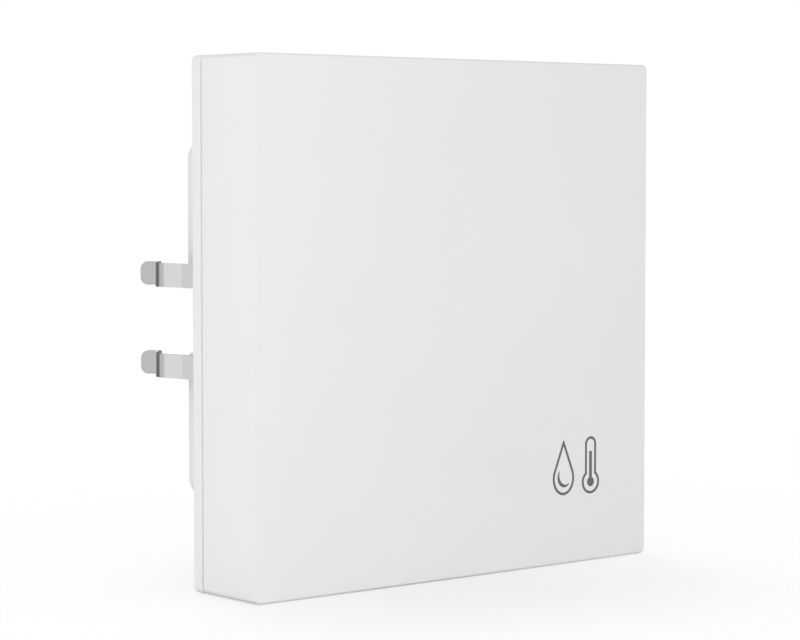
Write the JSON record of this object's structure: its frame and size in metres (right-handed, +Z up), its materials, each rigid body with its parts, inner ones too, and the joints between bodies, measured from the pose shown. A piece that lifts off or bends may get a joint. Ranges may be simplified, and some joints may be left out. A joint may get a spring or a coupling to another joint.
{
  "type": "temperature humidity sensor",
  "caption": "Flat square wall sensor for room temperature and humidity, with a plain push-fit cover, a rear box for a wall box, spring clips and a plug-in bus terminal.",
  "frame": {"origin": "centre of the wall plane, on the rear rim's seat, at the middle of the cover's height", "axes": "+X right along the front, +Y into the wall, +Z up"},
  "size_m": [0.086, 0.0452, 0.086],
  "materials": {
    "cover_white": "fine satin moulding",
    "base_white": "fine satin moulding",
    "spring_steel": "rolled spring steel",
    "circuit_board": "green solder mask",
    "plated_steel": "zinc plated",
    "chip_black": "moulded epoxy",
    "foam": "closed-cell foam",
    "ceramic_tan": "ceramic",
    "ferrite": "ferrite",
    "can_aluminium": "drawn can",
    "terminal_red": "moulded",
    "terminal_dark": "moulded",
    "button_grey": "moulded",
    "led_red": "tinted lens",
    "guide_clear": "clear moulding",
    "sign_grey": "printed ink"
  },
  "bodies": {
    "base": {"front_cover": "cover_white", "rear_base": "base_white", "front_board": "circuit_board", "rear_board": "circuit_board", "board_screws": "plated_steel", "humidity_sensor": "chip_black", "sensor_seal": "foam", "microcontroller": "chip_black", "chip_passives": "ceramic_tan", "board_socket": "chip_black", "board_header": "chip_black", "bus_transceiver": "chip_black", "power_inductor": "ferrite", "storage_capacitors": "can_aluminium", "clock_crystal": "plated_steel", "terminal_pins": "plated_steel", "button_switch": "chip_black", "programming_led": "led_red", "light_guide": "guide_clear"},
    "left_clip": {"left_spring_clip": "spring_steel"},
    "right_clip": {"right_spring_clip": "spring_steel"},
    "button": {"programming_button": "button_grey"},
    "terminal": {"bus_terminal_plus": "terminal_red", "bus_terminal_minus": "terminal_dark"}
  },
  "joints": [
    {"name": "left_clip_flex", "type": "hinge", "parent": "base", "child": "left_clip", "pos_m": [-0.0359, -0.0026, -0.0004], "axis": [0, 0, -1], "range_deg": [0, 4], "stiffness_Nm_per_rad": 2.8},
    {"name": "right_clip_flex", "type": "hinge", "parent": "base", "child": "right_clip", "pos_m": [0.0359, -0.0026, -0.0004], "axis": [0, 0, 1], "range_deg": [0, 4], "stiffness_Nm_per_rad": 2.8},
    {"name": "programming_button_press", "type": "slide", "parent": "base", "child": "button", "axis": [0, -1, 0], "range_m": [0, 0.0005], "stiffness_N_per_m": 3000},
    {"name": "bus_terminal_pull", "type": "slide", "parent": "base", "child": "terminal", "axis": [0, 1, 0], "range_m": [0, 0.012]}
  ]
}
